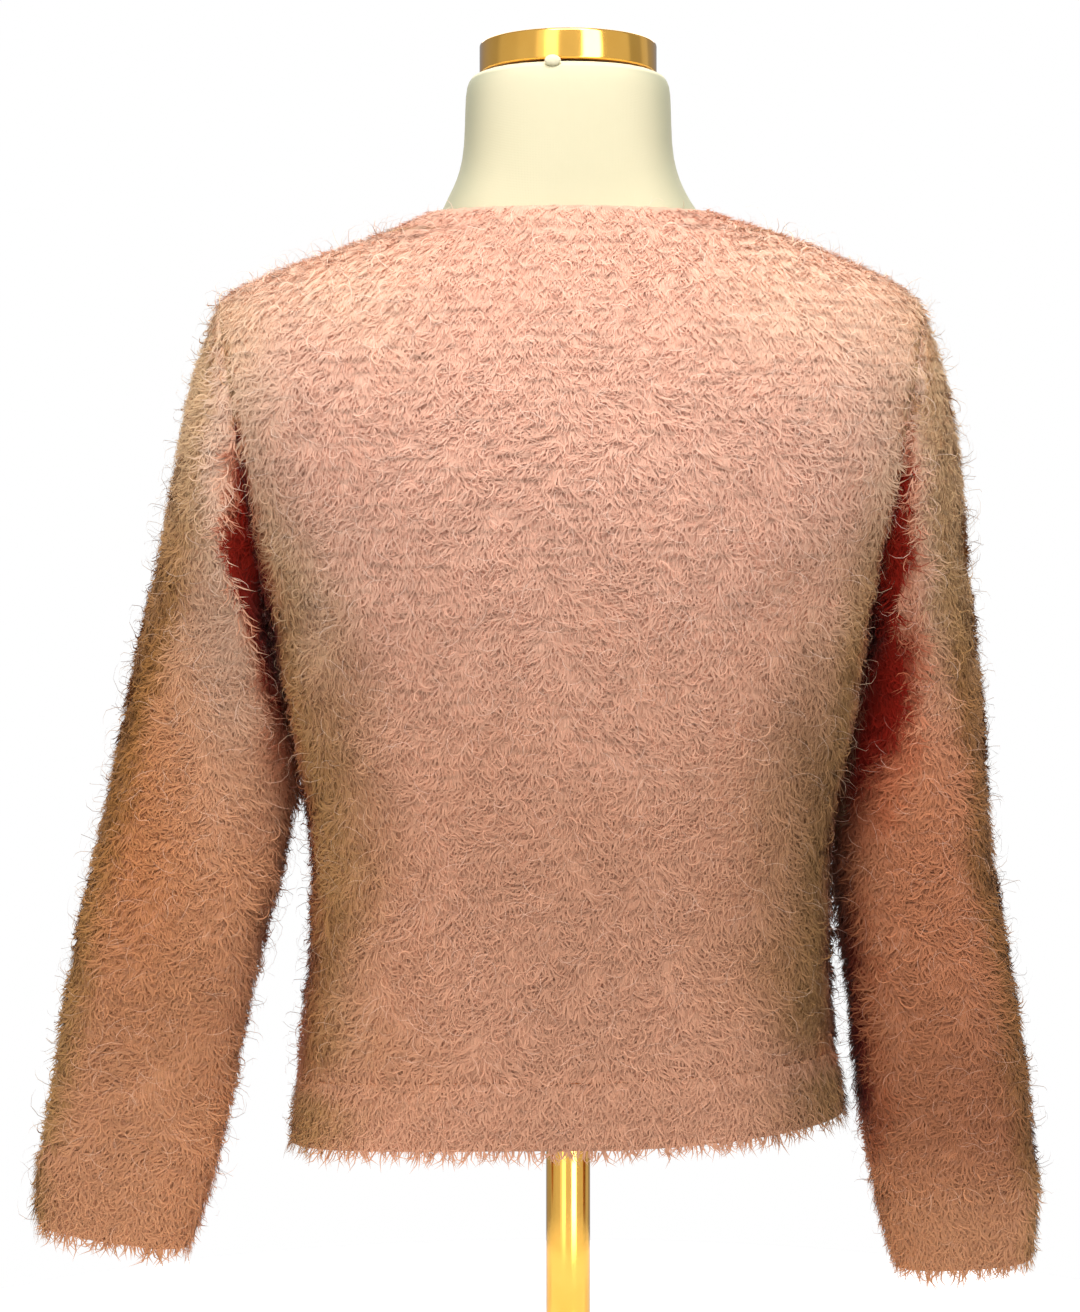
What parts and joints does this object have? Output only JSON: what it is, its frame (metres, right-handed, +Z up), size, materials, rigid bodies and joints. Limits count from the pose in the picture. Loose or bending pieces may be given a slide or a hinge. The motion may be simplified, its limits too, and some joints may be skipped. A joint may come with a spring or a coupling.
{
  "type": "fluffy pullover sweater on dress form",
  "caption": "Long-sleeved pullover in fluffy pile knit with a wide round neck and ribbed edges, worn by a limbless dress form with a metal neck cap on a pole and a round base.",
  "frame": {"origin": "middle of the underside of the round base", "axes": "+Z up the pole to the neck cap, front of the sweater towards -Y, the wearer's left sleeve at +X"},
  "size_m": [0.5767, 0.26, 0.776],
  "materials": {
    "pink_pile_knit": "knitted, with a long soft pile",
    "pink_rib_knit": "ribbed, with a long soft pile",
    "ivory_cover": "smooth stretched jersey",
    "gold_metal": "polished"
  },
  "bodies": {
    "root": {"front": "pink_pile_knit", "back": "pink_pile_knit", "sleeve_right": "pink_pile_knit", "sleeve_left": "pink_pile_knit", "cuff_right": "pink_rib_knit", "cuff_left": "pink_rib_knit", "hem_rib": "pink_rib_knit", "neckband": "pink_rib_knit", "dress_form": "ivory_cover", "neck_cap": "gold_metal", "pole": "gold_metal", "base": "gold_metal"}
  },
  "joints": []
}
